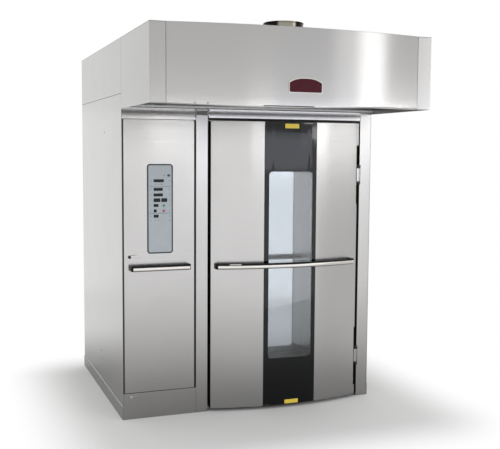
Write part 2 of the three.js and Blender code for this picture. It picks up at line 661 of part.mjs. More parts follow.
function addRotator() {
  const centre = [ROTATOR.x, ROTATOR.y];
  const pinionCentre = [PINION_X, ROTATOR.y];
  const [gearBottom, gearTop] = GEAR.z;
  const housing = join(
    block(around(centre[0], 100), around(centre[1], 100), [ATTIC_FLOOR + GAP, ATTIC_FLOOR + 8]),
    upright(centre, [ATTIC_FLOOR + 5, gearBottom - 6], 38),
  );
  const housingBore = upright(centre, [ATTIC_FLOOR - 20, gearTop], ROTATOR.shaft + 2);
  piece('bearing_housing', castIron(), cut(housing, housingBore));

  const gearBlank = join(
    planExtrusion(gearOutline(centre, GEAR.teeth, Math.PI), GEAR.z),
    upright(centre, [gearBottom - 4, gearTop + 15], 34),
  );
  const gearBore = upright(centre, [gearBottom - 20, gearTop + 30], ROTATOR.shaft + 0.6);
  piece('drive_gear', darkSteel(), cut(gearBlank, gearBore));

  const halfTooth = Math.PI / PINION_TEETH;
  const pinion = join(
    planExtrusion(gearOutline(pinionCentre, PINION_TEETH, halfTooth), GEAR.z),
    upright(pinionCentre, [gearBottom, gearTop + 50], 10, 20),
  );
  piece('drive_pinion', darkSteel(), pinion);

  const boxBottom = gearTop + 10;
  const foot = [PINION_X - 150, PINION_X - 50];
  const gearmotor = join(
    block(around(PINION_X, 60), around(centre[1], 60), [boxBottom, boxBottom + 90]),
    upright(pinionCentre, [boxBottom + 85, boxBottom + 270], 62),
    block(foot, around(centre[1], 50), [boxBottom, boxBottom + 12]),
    block([foot[0], foot[0] + 12], around(centre[1], 50), [ATTIC_FLOOR + GAP, boxBottom + 5]),
  );
  const socket = upright(pinionCentre, [boxBottom - 5, boxBottom + 50], 11.5, 20);
  piece('rack_drive_motor', motorPaint(), cut(gearmotor, socket));

  const bar = [ROTATOR.x - ROTATOR.bar / 2, ROTATOR.x + ROTATOR.bar / 2];
  const barY = around(centre[1], 20);
  const lift = join(
    upright(centre, [1905, 2400], ROTATOR.shaft),
    upright(centre, [2375, 2400], 30),
    block(bar, barY, [1905, 1930]),
    block([bar[0], bar[0] + 14], barY, [1888, 1915]),
    block([bar[1] - 14, bar[1]], barY, [1888, 1915]),
  );
  piece('lift_shaft', polishedSteel(), lift);
}

addSides();
addShell();
addFront();
addHood();
addFlueCollar();
addControlDoor();
addControlPanel();
addPull('control_pull', CONTROL_PULL, (x, offset) => -offset);
addDoorFace();
addDoorInside();
addPull('door_pull', DOOR_PULL, bowAt);
addDoorHinge('lower_hinge', NOTCH.zs[0]);
addDoorHinge('upper_hinge', NOTCH.zs[1]);
addChamber();
addLouvrePanel();
addInsulation();
addHeatExchanger();
addBurner();
addSteamGenerator();
addBlower();
addRotator();

// The origin is on the floor, under the middle of the whole oven
const plateFront = -HOOD.reach - HOOD.sagitta - GAP - NAMEPLATE.thick;
oven.position.set(-WIDTH / 2, -(DEPTH + plateFront) / 2, 0);

export default oven;
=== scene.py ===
# Looks of the rotating rack oven: its finishes, its finer pieces, the studio and the camera.
# The frame is in metres. Places of pieces are in millimetres, measured from the cabinet's front
# left bottom corner: x to the right, y to the back and z up.
import json
import math

import bmesh
import bpy
from mathutils import Matrix, Vector
from mathutils.geometry import delaunay_2d_cdt


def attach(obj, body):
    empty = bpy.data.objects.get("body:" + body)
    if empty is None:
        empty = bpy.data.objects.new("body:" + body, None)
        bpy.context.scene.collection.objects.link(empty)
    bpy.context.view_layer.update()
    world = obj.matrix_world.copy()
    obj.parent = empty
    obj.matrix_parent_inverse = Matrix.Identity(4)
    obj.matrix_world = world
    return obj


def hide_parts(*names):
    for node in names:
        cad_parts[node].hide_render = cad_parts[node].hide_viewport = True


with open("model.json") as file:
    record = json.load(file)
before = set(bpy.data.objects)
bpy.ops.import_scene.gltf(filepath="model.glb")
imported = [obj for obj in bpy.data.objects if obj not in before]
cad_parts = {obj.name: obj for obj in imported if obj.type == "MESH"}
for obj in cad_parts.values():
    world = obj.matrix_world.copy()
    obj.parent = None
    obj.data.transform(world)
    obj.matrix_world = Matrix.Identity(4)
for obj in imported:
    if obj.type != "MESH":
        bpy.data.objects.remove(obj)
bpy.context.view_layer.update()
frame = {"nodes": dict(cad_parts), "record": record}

# The cabinet. The frame's origin is in the middle of its width, this far behind its front.
WIDTH = 1830
DEPTH = 1540
ORIGIN_DEPTH = 341
# The hood: its front's lower and upper edge, and the strips at its corners
HOOD_BOTTOM = 2068
HOOD_TOP = 2523
CORNER_STRIP = 95
COLLAR = (915, -520)
# The main door: left and right, foot and head, the back of its folded rims
DOOR_EDGES = (605, 1731)
DOOR_HEIGHTS = (25, 2000)
DOOR_BACK = 28
GLASS_EDGES = (968, 1354)
# The heights of the notches in its hinged edge
NOTCHES = ((94, 522), (1423, 1845))
# Boxes in x and z: left, right, bottom, top
WINDOW = (1000, 1327, 358, 1660)
WINDOW_CORNER = 25
PANEL = (169, 345, 1115, 1711)
PANEL_CORNER = 20
PLATE = (813, 1033, 2141, 2232)


def at(x, y, z):
    """A place in millimetres, as a point of the frame"""
    return Vector(((x - WIDTH / 2) / 1000, (y - ORIGIN_DEPTH) / 1000, z / 1000))


# The main door's face is one arc from edge to edge, seen from above

BOW_MIDDLE = 1168
BOW_RADIUS = 1950.95
BOW_CENTRE = 1847.95


def bow(x, offset=0.0):
    """The door face's y at x, moved outwards by the offset"""
    return BOW_CENTRE - math.sqrt((BOW_RADIUS + offset) ** 2 - (x - BOW_MIDDLE) ** 2)


# The hood's front is bowed too, between its corner strips

HOOD_RADIUS = 4044.38
HOOD_CENTRE = 3190.38


def hood_bow(x, offset=0.0):
    """The hood's y at x, moved outwards by the offset"""
    return HOOD_CENTRE - math.sqrt((HOOD_RADIUS + offset) ** 2 - (x - WIDTH / 2) ** 2)


# Materials


def colour(code):
    """An sRGB hex colour, turned to the linear values that shaders take"""
    parts = [int(code[i:i + 2], 16) / 255 for i in (1, 3, 5)]
    return [c / 12.92 if c <= 0.04045 else ((c + 0.055) / 1.055) ** 2.4 for c in parts] + [1.0]


def add(tree, kind, inputs=(), **settings):
    """Adds a node; each input is a value or another node's output"""
    node = tree.nodes.new("ShaderNode" + kind)
    for name, value in settings.items():
        setattr(node, name, value)
    for key, value in dict(inputs).items():
        if isinstance(value, bpy.types.NodeSocket):
            tree.links.new(value, node.inputs[key])
        else:
            node.inputs[key].default_value = value
    return node


def new_finish(name, **constants):
    """A material with its shader, the constants set on the shader's own sockets"""
    material = bpy.data.materials.new(name)
    material.use_nodes = True
    tree = material.node_tree
    shader = tree.nodes["Principled BSDF"]
    for key, value in constants.items():
        shader.inputs[key.replace("_", " ")].default_value = value
    return material, tree, shader


def rolled_stainless(name, light, dark, smooth, rough, anisotropy):
    """Stainless sheet brushed along its length. The brush leaves level scratches, which
    smear each reflection up and down and leave it sharper from side to side."""
    material, tree, shader = new_finish(
        name, Metallic=1.0, Anisotropic=anisotropy, Anisotropic_Rotation=0.25)
    place = add(tree, "TexCoord").outputs["Object"]
    facing = add(tree, "NewGeometry").outputs["Normal"]
    along = add(tree, "VectorMath", {0: facing, 1: (0.0, 0.05, 1.0)}, operation="CROSS_PRODUCT")
    tree.links.new(along.outputs[0], shader.inputs["Tangent"])

    # On a level sheet the scratches run from side to side, on an upright one they are level
    axes = add(tree, "SeparateXYZ", {0: place}).outputs
    rise = add(tree, "SeparateXYZ", {0: facing}).outputs[2]
    upward = add(tree, "Math", {0: rise}, operation="ABSOLUTE").outputs[0]
    across = add(tree, "Mix", {0: upward, 2: axes[2], 3: axes[1]}).outputs[0]
    lengthways = add(tree, "Math", {0: axes[0], 1: axes[1]}, operation="ADD").outputs[0]
    grain_place = add(tree, "CombineXYZ", {0: lengthways, 1: across}).outputs[0]

    # Real scratches are 0.2 mm apart, too fine to show: streaks of 8 mm stand for bunches of
    # them, and lines of 2 mm for the single ones
    streaks = add(tree, "Mapping", {0: grain_place, 3: (1.6, 125.0, 1.0)}).outputs[0]
    bunches = add(tree, "TexNoise", {0: streaks, "Scale": 1.0, "Detail": 3.0, "Roughness": 0.6})
    lines = add(tree, "Mapping", {0: grain_place, 3: (5.0, 500.0, 1.0)}).outputs[0]
    scratches = add(tree, "TexNoise", {0: lines, "Scale": 1.0, "Detail": 2.0})
    # Wiping with a cloth leaves cloudy marks of about 300 mm
    clouds = add(tree, "TexNoise", {0: place, "Scale": 3.3, "Detail": 3.0})
    both = add(tree, "Math", {0: bunches.outputs[0], 1: clouds.outputs[0]}, operation="ADD").outputs[0]
    tint = add(tree, "MapRange", {0: both, 1: 0.6, 2: 1.4}).outputs[0]
    steel = add(tree, "Mix", {0: tint, 6: colour(light), 7: colour(dark)}, data_type="RGBA")
    tree.links.new(steel.outputs[2], shader.inputs["Base Color"])
    rough_map = add(tree, "MapRange", {0: both, 1: 0.6, 2: 1.4, 3: smooth, 4: rough})
    tree.links.new(rough_map.outputs[0], shader.inputs["Roughness"])
    relief = add(tree, "Bump", {"Height": scratches.outputs[0], "Strength": 0.012, "Distance": 0.0003})
    tree.links.new(relief.outputs[0], shader.inputs["Normal"])
    return material


def flue_stainless():
    """Spun stainless painted nearly black as shade, but for a bright band down its middle that is a
    painted highlight
    """
    material = rolled_stainless("flue_stainless", "#9b978c", "#8d897e", 0.14, 0.22, 0.3)
    tree = material.node_tree
    colour_socket = tree.nodes["Principled BSDF"].inputs["Base Color"]
    highlight_colour = colour_socket.links[0].from_socket
    place = add(tree, "TexCoord").outputs["Object"]
    across = add(tree, "SeparateXYZ", {0: place}).outputs[0]
    # The painted highlight's middle is 21.5 mm left of the collar's, it is about 110 mm wide, and it
    # darkens into the painted shade over 16 mm at each side
    off = add(tree, "Math", {0: across, 1: 0.0215}).outputs[0]
    off = add(tree, "Math", {0: off}, operation="ABSOLUTE").outputs[0]
    painted_shade_mask = add(tree, "MapRange", {0: off, 1: 0.046, 2: 0.062}, interpolation_type="SMOOTHSTEP")
    steel = add(tree, "Mix", {0: painted_shade_mask.outputs[0], 6: highlight_colour, 7: colour("#1c1b17")}, data_type="RGBA")
    tree.links.new(steel.outputs[2], colour_socket)
    return material


def galvanised_sheet():
    """Zinc dipped sheet: the zinc freezes in flat crystals about 14 mm wide, each of its own grey"""
    material, tree, shader = new_finish("galvanised_sheet", Metallic=1.0)
    place = add(tree, "TexCoord").outputs["Object"]
    crystals = add(tree, "TexVoronoi", {0: place, "Scale": 70.0})
    grey = add(tree, "ValToRGB", {0: crystals.outputs["Color"]})
    grey.color_ramp.elements[0].color = colour("#8f9090")
    grey.color_ramp.elements[1].color = colour("#b5b6b5")
    tree.links.new(grey.outputs[0], shader.inputs["Base Color"])
    dull = add(tree, "MapRange", {0: crystals.outputs["Color"], 3: 0.38, 4: 0.6})
    tree.links.new(dull.outputs[0], shader.inputs["Roughness"])
    return material


def blackened_steel():
    """Hot rolled steel with its mill scale: blue black, with worn patches of bare grey"""
    material, tree, shader = new_finish("blackened_steel", Metallic=0.85)
    place = add(tree, "TexCoord").outputs["Object"]
    scale = add(tree, "TexNoise", {0: place, "Scale": 28.0, "Detail": 6.0, "Roughness": 0.7})
    grey = add(tree, "ValToRGB", {0: scale.outputs[0]})
    grey.color_ramp.elements[0].position = 0.35
    grey.color_ramp.elements[0].color = colour("#2b2c30")
    grey.color_ramp.elements[1].position = 0.75
    grey.color_ramp.elements[1].color = colour("#6a6865")
    tree.links.new(grey.outputs[0], shader.inputs["Base Color"])
    dull = add(tree, "MapRange", {0: scale.outputs[0], 1: 0.3, 2: 0.7, 3: 0.38, 4: 0.62})
    tree.links.new(dull.outputs[0], shader.inputs["Roughness"])
    # Scale flakes stand 0.1 mm proud
    relief = add(tree, "Bump", {"Height": scale.outputs[0], "Strength": 0.4, "Distance": 0.0004})
    tree.links.new(relief.outputs[0], shader.inputs["Normal"])
    return material


def sand_cast_iron():
    """Grey iron from a sand mould: dark, dull and grainy, with a breath of rust"""
    material, tree, shader = new_finish("sand_cast_iron", Metallic=0.35)
    place = add(tree, "TexCoord").outputs["Object"]
    # Sand grains of 0.3 mm, drawn 2 mm wide to show
    sand = add(tree, "TexNoise", {0: place, "Scale": 480.0, "Detail": 3.0})
    rust = add(tree, "TexNoise", {0: place, "Scale": 11.0, "Detail": 5.0, "Roughness": 0.65})
    brown = add(tree, "ValToRGB", {0: rust.outputs[0]})
    brown.color_ramp.elements[0].position = 0.45
    brown.color_ramp.elements[0].color = colour("#343331")
    brown.color_ramp.elements[1].position = 0.8
    brown.color_ramp.elements[1].color = colour("#5a4436")
    tree.links.new(brown.outputs[0], shader.inputs["Base Color"])
    dull = add(tree, "MapRange", {0: rust.outputs[0], 3: 0.55, 4: 0.85})
    tree.links.new(dull.outputs[0], shader.inputs["Roughness"])
    relief = add(tree, "Bump", {"Height": sand.outputs[0], "Strength": 0.6, "Distance": 0.0006})
    tree.links.new(relief.outputs[0], shader.inputs["Normal"])
    return material


def moulded(name, light, dark, smooth, rough, grain, depth, **constants):
    """A moulded or sprayed skin: even colour, a soft sheen and the fine pebbles of its mould"""
    material, tree, shader = new_finish(name, **constants)
    place = add(tree, "TexCoord").outputs["Object"]
    pebbles = add(tree, "TexNoise", {0: place, "Scale": 1000.0 / grain, "Detail": 2.0})
    handling = add(tree, "TexNoise", {0: place, "Scale": 14.0, "Detail": 4.0})
    tint = add(
        tree, "Mix", {0: handling.outputs[0], 6: colour(light), 7: colour(dark)}, data_type="RGBA")
    tree.links.new(tint.outputs[2], shader.inputs["Base Color"])
    sheen = add(tree, "MapRange", {0: handling.outputs[0], 1: 0.3, 2: 0.7, 3: smooth, 4: rough})
    tree.links.new(sheen.outputs[0], shader.inputs["Roughness"])
    relief = add(
        tree, "Bump", {"Height": pebbles.outputs[0], "Strength": 0.5, "Distance": depth / 1000})
    tree.links.new(relief.outputs[0], shader.inputs["Normal"])
    return material


def float_glass(name, light, dark, rough, **constants):
    """Float glass: flat and bright, with a film of dust that dulls it in clouds"""
    material, tree, shader = new_finish(name, **constants)
    place = add(tree, "TexCoord").outputs["Object"]
    dust = add(tree, "TexNoise", {0: place, "Scale": 5.0, "Detail": 5.0, "Roughness": 0.7})
    tint = add(tree, "Mix", {0: dust.outputs[0], 6: colour(light), 7: colour(dark)}, data_type="RGBA")
    tree.links.new(tint.outputs[2], shader.inputs["Base Color"])
    film = add(tree, "MapRange", {0: dust.outputs[0], 1: 0.3, 2: 0.7, 3: rough[0], 4: rough[1]})
    tree.links.new(film.outputs[0], shader.inputs["Roughness"])
    return material


def mineral_wool():
    """Pressed stone wool: grey yellow fibres that lie every way, rough and without a shine"""
    material, tree, shader = new_finish("mineral_wool", Specular_IOR_Level=0.1)
    place = add(tree, "TexCoord").outputs["Object"]
    # Fibres bunch in threads about 3 mm thick and 20 mm long
    threads = add(tree, "Mapping", {0: place, 3: (50.0, 330.0, 120.0)}).outputs[0]
    fibres = add(tree, "TexNoise", {0: threads, "Scale": 1.0, "Detail": 5.0, "Distortion": 1.5})
    straw = add(tree, "ValToRGB", {0: fibres.outputs[0]})
    straw.color_ramp.elements[0].position = 0.3
    straw.color_ramp.elements[0].color = colour("#77705a")
    straw.color_ramp.elements[1].position = 0.7
    straw.color_ramp.elements[1].color = colour("#b3aa8c")
    tree.links.new(straw.outputs[0], shader.inputs["Base Color"])
    dull = add(tree, "MapRange", {0: fibres.outputs[0], 3: 0.85, 4: 1.0})
    tree.links.new(dull.outputs[0], shader.inputs["Roughness"])
    relief = add(tree, "Bump", {"Height": fibres.outputs[0], "Strength": 0.8, "Distance": 0.002})
    tree.links.new(relief.outputs[0], shader.inputs["Normal"])
    return material


def foil_faced_board():
    """Insulation board under crinkled aluminium foil, glued over a scrim of threads 12 mm apart"""
    material, tree, shader = new_finish("foil_faced_board", Metallic=1.0)
    place = add(tree, "TexCoord").outputs["Object"]
    crinkles = add(tree, "TexNoise", {0: place, "Scale": 60.0, "Detail": 4.0, "Distortion": 0.6})
    foil = add(
        tree, "Mix", {0: crinkles.outputs[0], 6: colour("#c9ccce"), 7: colour("#a3a7aa")},
        data_type="RGBA")
    tree.links.new(foil.outputs[2], shader.inputs["Base Color"])
    dull = add(tree, "MapRange", {0: crinkles.outputs[0], 3: 0.22, 4: 0.42})
    tree.links.new(dull.outputs[0], shader.inputs["Roughness"])
    # One wave each 12 mm is 2 pi / 20 / 0.012 = 26 in the texture's scale
    level = add(tree, "TexWave", {0: place, "Scale": 26.0}, bands_direction="Z")
    upright = add(tree, "TexWave", {0: place, "Scale": 26.0}, bands_direction="X")
    scrim = add(tree, "Math", {0: level.outputs[1], 1: upright.outputs[1]}, operation="MAXIMUM")
    threads = add(tree, "Math", {0: scrim.outputs[0], 1: 12.0}, operation="POWER").outputs[0]
    height = add(tree, "Math", {0: threads, 1: crinkles.outputs[0]}, operation="ADD").outputs[0]
    relief = add(tree, "Bump", {"Height": height, "Strength": 0.5, "Distance": 0.001})
    tree.links.new(relief.outputs[0], shader.inputs["Normal"])
    return material


def studio_paper():
    """Seamless paper: pale near the oven, where it holds the shadow, and white further off"""
    material, tree, shader = new_finish("studio_paper", Roughness=0.9, Specular_IOR_Level=0.1)
    place = add(tree, "TexCoord").outputs["Object"]
    # Paper fibres show as a faint mottle about 15 mm wide
    mottle = add(tree, "TexNoise", {0: place, "Scale": 65.0, "Detail": 3.0})
    pale = add(
        tree, "Mix", {0: mottle.outputs[0], 6: colour("#dfdfde"), 7: colour("#dadad9")},
        data_type="RGBA")
    # The camera sees pale paper. For every other ray its colour is darkened to 0.68: painted shade, which
    # the oven mirrors on its doors' feet.
    sight = add(tree, "LightPath").outputs["Is Camera Ray"]
    level = add(tree, "MapRange", {0: sight, 3: 0.68, 4: 1.0}).outputs[0]
    shade = add(tree, "HueSaturation", {"Value": level, "Color": pale.outputs[2]})
    tree.links.new(shade.outputs[0], shader.inputs["Base Color"])
    # Its shade ends 0.7 m from the oven's sides for the camera, and 2 m from them in what metal and glass
    # mirror: painted shade kept on the mirrored floor
    side = add(tree, "VectorMath", {0: place}, operation="ABSOLUTE").outputs[0]
    past = add(tree, "VectorMath", {0: side, 1: (0.92, 0.9, 0.0)}, operation="SUBTRACT").outputs[0]
    outside = add(tree, "VectorMath", {0: past, 1: (0.0, 0.0, 0.0)}, operation="MAXIMUM").outputs[0]
    reach = add(tree, "VectorMath", {0: outside}, operation="LENGTH").outputs["Value"]
    end = add(tree, "MapRange", {0: sight, 3: 2.0, 4: 0.7}).outputs[0]
    far = add(tree, "MapRange", {0: reach, 1: 0.05, 2: end}, interpolation_type="SMOOTHSTEP")
    white = add(tree, "Emission", {0: (1.0, 1.0, 1.0, 1.0), 1: 1.0})
    both = add(tree, "MixShader", {0: far.outputs[0], 1: shader.outputs[0], 2: white.outputs[0]})
    tree.links.new(both.outputs[0], tree.nodes["Material Output"].inputs["Surface"])
    return material


BRUSHED = rolled_stainless("brushed_stainless", "#aaa9a8", "#a6a5a4", 0.18, 0.22, 0.75)
CHAMBER_STEEL = rolled_stainless("chamber_stainless", "#b8b6b3", "#adaba7", 0.28, 0.34, 0.4)
POLISHED = rolled_stainless("polished_stainless", "#c6c3bf", "#bbb8b3", 0.16, 0.22, 0.4)
DULL_STEEL = rolled_stainless("dull_stainless", "#63625f", "#575653", 0.14, 0.22, 0.5)
FLUE_STEEL = flue_stainless()
GALVANISED = galvanised_sheet()
BLACK_STEEL = blackened_steel()
CAST_IRON = sand_cast_iron()
# Mould grain of 0.4 mm, drawn 1.5 mm wide to show
GRIP = moulded("black_nylon_grip", "#0a0a0b", "#101012", 0.3, 0.42, 1.5, 0.04, Specular_IOR_Level=0.15)
SILICONE = moulded("silicone_rubber", "#2c2826", "#221f1d", 0.5, 0.66, 2.0, 0.08, IOR=1.41)
# Closed cell rubber hardly shines, so a joint that it fills reads as a black line; where it fills a gap,
# that black is partly painted shade for the gap's shadow
BLACK_SEAL = moulded(
    "black_sealing_rubber", "#0c0b0b", "#121110", 0.7, 0.85, 2.5, 0.08, Specular_IOR_Level=0.05)
# Orange peel of a sprayed enamel, about 3 mm from crest to crest
MOTOR_ENAMEL = moulded("motor_enamel", "#435a66", "#384c57", 0.3, 0.46, 3.0, 0.08)
RED_ENAMEL = moulded(
    "dark_red_enamel", "#420b18", "#380914", 0.22, 0.34, 3.0, 0.03, Specular_IOR_Level=0.15)
OVERLAY = moulded("membrane_overlay", "#a3abb0", "#9aa2a7", 0.34, 0.44, 1.5, 0.02)
OVERLAY_RIM = moulded("overlay_rim", "#3c3e42", "#34363a", 0.4, 0.55, 1.5, 0.03, Specular_IOR_Level=0.3)
GREY_NYLON = moulded("grey_nylon", "#a09f9c", "#989794", 0.35, 0.5, 2.0, 0.02)
PANEL_INK = moulded("printed_ink", "#3b4046", "#33383d", 0.4, 0.5, 1.5, 0.02)
DISPLAY = moulded("display_plastic", "#0b0c0e", "#101114", 0.2, 0.3, 4.0, 0.01, Specular_IOR_Level=0.2)
GREEN_CAP = moulded("green_key_plastic", "#2f9450", "#288445", 0.3, 0.4, 1.5, 0.03)
RED_CAP = moulded("red_key_plastic", "#c23a34", "#b2332e", 0.3, 0.4, 1.5, 0.03)
PALE_LABEL = moulded("pale_vinyl", "#c9c7c2", "#bdbbb6", 0.35, 0.5, 2.0, 0.02)
YELLOW_PLATE = moulded("yellow_vinyl", "#e6cc4e", "#dcbf3a", 0.38, 0.5, 2.0, 0.02)
BLACK_GLASS = float_glass(
    "enamelled_black_glass", "#060709", "#0a0b0d", (0.03, 0.08), IOR=1.5, Specular_IOR_Level=0.3)
CLEAR_GLASS = float_glass(
    "clear_float_glass", "#f7f8f9", "#f2f4f5", (0.0, 0.02), IOR=1.47, Transmission_Weight=1.0)
# A clear oxide film makes the inner pane a bluish mirror that holds the heat in
PANE = float_glass(
    "heat_mirror_pane", "#c3c8cd", "#bcc2c7", (0.06, 0.12), Metallic=0.85, Transmission_Weight=1.0)
LAMP_LENS = moulded("frosted_lamp_glass", "#e9ecea", "#dde1df", 0.3, 0.45, 3.0, 0.1, IOR=1.47)
WOOL = mineral_wool()
FOIL_BOARD = foil_faced_board()
PAPER = studio_paper()

# The finish of each material slot of the record
SLOT_FINISH = {
    "brushed_stainless": BRUSHED,
    "polished_stainless": POLISHED,
    "galvanised_steel": GALVANISED,
    "dark_steel": BLACK_STEEL,
    "cast_iron": CAST_IRON,
    "black_grip": GRIP,
    "black_glass": BLACK_GLASS,
    "clear_glass": CLEAR_GLASS,
    "silicone_rubber": SILICONE,
    "mineral_wool": WOOL,
    "foil_board": FOIL_BOARD,
    "motor_paint": MOTOR_ENAMEL,
    "grey_overlay": OVERLAY,
    "black_plastic": DISPLAY,
    "green_plastic": GREEN_CAP,
    "red_plastic": RED_CAP,
    "dark_red_paint": RED_ENAMEL,
}

# Pieces


def round_edges(obj, width):
    """Breaks every sharp edge by a radius in millimetres, as a press or a file leaves it"""
    bevel = obj.modifiers.new("edges", "BEVEL")
    bevel.width = width / 1000
    bevel.segments = 2
    bevel.limit_method = "ANGLE"
    bevel.angle_limit = math.radians(35)
    bevel.harden_normals = True


def piece(name, shape, finishes, body, stands_for=(), edges=0.0, sheet=0.0):
    """A finished piece: its shape, its finishes, the body it is on and the solids that
    it stands for, the rounding of its edges and the thickness of its sheet in millimetres"""
    mesh = bpy.data.meshes.new(name)
    bmesh.ops.recalc_face_normals(shape, faces=shape.faces)
    # An open sheet shows its outside to the front, and its rims are sharp
    shape.edges.index_update()
    rims = [edge.index for edge in shape.edges if edge.is_boundary]
    if rims and sum(face.normal.y * face.calc_area() for face in shape.faces) > 0:
        bmesh.ops.reverse_faces(shape, faces=shape.faces)
    shape.to_mesh(mesh)
    shape.free()
    for finish in finishes if isinstance(finishes, list) else [finishes]:
        mesh.materials.append(finish)
    mesh.shade_smooth()
    mesh.set_sharp_from_angle(angle=math.radians(35))
    for index in rims:
        mesh.edges[index].use_edge_sharp = True
    obj = bpy.data.objects.new(name, mesh)
    bpy.context.scene.collection.objects.link(obj)
    if sheet:
        walls = obj.modifiers.new("sheet", "SOLIDIFY")
        walls.thickness = sheet / 1000
        walls.offset = -1
    if edges:
        round_edges(obj, edges)
    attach(obj, body)
    if stands_for:
        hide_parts(*stands_for)


def square(left, right, bottom, top):
    """A rectangle's outline in x and z"""
    return [(left, bottom), (right, bottom), (right, top), (left, top)]


def rounded(box, radius, steps=8):
    """A rounded rectangle's outline in x and z"""
    left, right, bottom, top = box
    corners = [(right - radius, top - radius), (left + radius, top - radius),
               (left + radius, bottom + radius), (right - radius, bottom + radius)]
    outline = []
    for quarter, (x, z) in enumerate(corners):
        for step in range(steps + 1):
            turn = math.pi / 2 * (quarter + step / steps)
            outline.append((x + radius * math.cos(turn), z + radius * math.sin(turn)))
    return outline


def within(point, outline):
    """Whether a point in x and z lies inside an outline"""
    x, z = point
    inside = False
    for (x0, z0), (x1, z1) in zip(outline, outline[1:] + outline[:1]):
        if (z0 > z) != (z1 > z) and x < x0 + (z - z0) / (z1 - z0) * (x1 - x0):
            inside = not inside
    return inside


def face_sheet(outline, surface, back=None, fold=0.0, holes=(), panes=(), spacing=0):
    """A sheet cut to an outline in x and z and laid on a surface, y = surface(x, z), with upright
    lines of points at a spacing, so that it bends. Its rim is folded to the back, or by the fold's
    depth. Holes are cut out, and panes are areas that take the second finish."""
    points, edges = [], []
    for loop in [outline, *holes, *panes]:
        first = len(points)
        points += loop
        edges += [(first + i, first + (i + 1) % len(loop)) for i in range(len(loop))]
    if spacing:
        xs, zs = [p[0] for p in outline], [p[1] for p in outline]
        count = max(1, round((max(xs) - min(xs)) / spacing))
        for line in range(1, count):
            x = min(xs) + (max(xs) - min(xs)) * line / count
            points += [(x, min(zs)), (x, max(zs))]
            edges.append((len(points) - 2, len(points) - 1))
    places, _, faces, *_ = delaunay_2d_cdt([Vector(p) for p in points], edges, [], 0, 1e-5)
    shape = bmesh.new()
    corners = [shape.verts.new(at(p.x, surface(p.x, p.y), p.y)) for p in places]
    for face in faces:
        middle = sum((places[i] for i in face), Vector((0.0, 0.0))) / len(face)
        if not within(middle, outline) or any(within(middle, hole) for hole in holes):
            continue
        new = shape.faces.new([corners[i] for i in face])
        new.material_index = int(any(within(middle, pane) for pane in panes))
    bmesh.ops.delete(shape, geom=[v for v in shape.verts if not v.link_faces], context="VERTS")
    if back is not None or fold:
        rim = [e for e in shape.edges if e.is_boundary]
        folded = bmesh.ops.extrude_edge_only(shape, edges=rim)["geom"]
        for vert in [g for g in folded if isinstance(g, bmesh.types.BMVert)]:
            vert.co.y = vert.co.y + fold / 1000 if fold else at(0, back, 0).y
    return shape


def plate(outline, front, back, holes=()):
    """A flat plate with the outline in x and z, from one y to another"""
    shape = face_sheet(outline, lambda x, z: front, holes=holes)
    made = bmesh.ops.extrude_face_region(shape, geom=shape.faces[:])["geom"]
    moved = [g for g in made if isinstance(g, bmesh.types.BMVert)]
    bmesh.ops.translate(shape, verts=moved, vec=(0.0, (back - front) / 1000, 0.0))
    return shape


def bridge(shape, rings, closed=True):
    """Faces from each ring of points to the next"""
    for one, two in zip(rings, rings[1:]):
        for i in range(len(one) if closed else len(one) - 1):
            after = (i + 1) % len(one)
            shape.faces.new([one[i], one[after], two[after], two[i]])


def turned(profile, place, axis="Z", steps=32):
    """A profile of radius and height, turned about an axis through a place"""
    shape = bmesh.new()
    centre = at(*place)
    rings = []
    for radius, height in profile:
        ring = []
        for step in range(steps):
            turn = 2 * math.pi * step / steps
            a, b, h = radius * math.cos(turn) / 1000, radius * math.sin(turn) / 1000, height / 1000
            offset = {"Z": (a, b, h), "Y": (a, h, b), "X": (h, a, b)}[axis]
            ring.append(shape.verts.new(centre + Vector(offset)))
        rings.append(ring)
    bridge(shape, rings)
    bmesh.ops.remove_doubles(shape, verts=shape.verts, dist=1e-7)
    return shape


def swept(path, section):
    """A section of outward and upward offsets, carried along a level path"""
    shape = bmesh.new()
    up = Vector((0.0, 0.0, 1.0))
    spots = [at(*p) for p in path]
    rings = []
    for before, spot, after in zip(spots[:1] + spots[:-1], spots, spots[1:] + spots[-1:]):
        into = (spot - before).normalized() if spot != before else (after - spot).normalized()
        out_of = (after - spot).normalized() if after != spot else into
        along = (into + out_of).normalized()
        # A mitre is wider than the section by the turn's half angle
        stretch = 1 / max(0.5, along.dot(out_of))
        out = along.cross(up).normalized() * stretch
        rings.append([shape.verts.new(spot + out * (a / 1000) + up * (b / 1000)) for a, b in section])
    bridge(shape, rings)
    shape.faces.new(rings[0])
    shape.faces.new(rings[-1][::-1])
    return shape


def join(*shapes):
    """Several shapes as one piece"""
    whole = bmesh.new()
    for shape in shapes:
        mesh = bpy.data.meshes.new("part")
        shape.to_mesh(mesh)
        shape.free()
        whole.from_mesh(mesh)
        bpy.data.meshes.remove(mesh)
    return whole


def eased(points, radius, steps):
    """A path in x and y with its inner corners rounded"""
    path = [points[0]]
    for before, corner, after in zip(points, points[1:], points[2:]):
        a = Vector(before) - Vector(corner)
        b = Vector(after) - Vector(corner)
        reach = min(radius, a.length * 0.45, b.length * 0.45)
        start = Vector(corner) + a.normalized() * reach
        end = Vector(corner) + b.normalized() * reach
        for step in range(steps + 1):
            t = step / steps
            point = start * (1 - t) ** 2 + Vector(corner) * 2 * t * (1 - t) + end * t ** 2
            path.append(tuple(point))
    path.append(points[-1])
    return path


# Carried-over solids: edges broken, and each with the finish of its slot

for entry in frame["record"]["subparts"]:
    solid = frame["nodes"][entry["node"]]
    solid.data.materials.clear()
    solid.data.materials.append(SLOT_FINISH[entry["material_slot"]])
    weld = solid.modifiers.new("weld", "WELD")
    weld.merge_threshold = 1e-5
    round_edges(solid, 0.8)

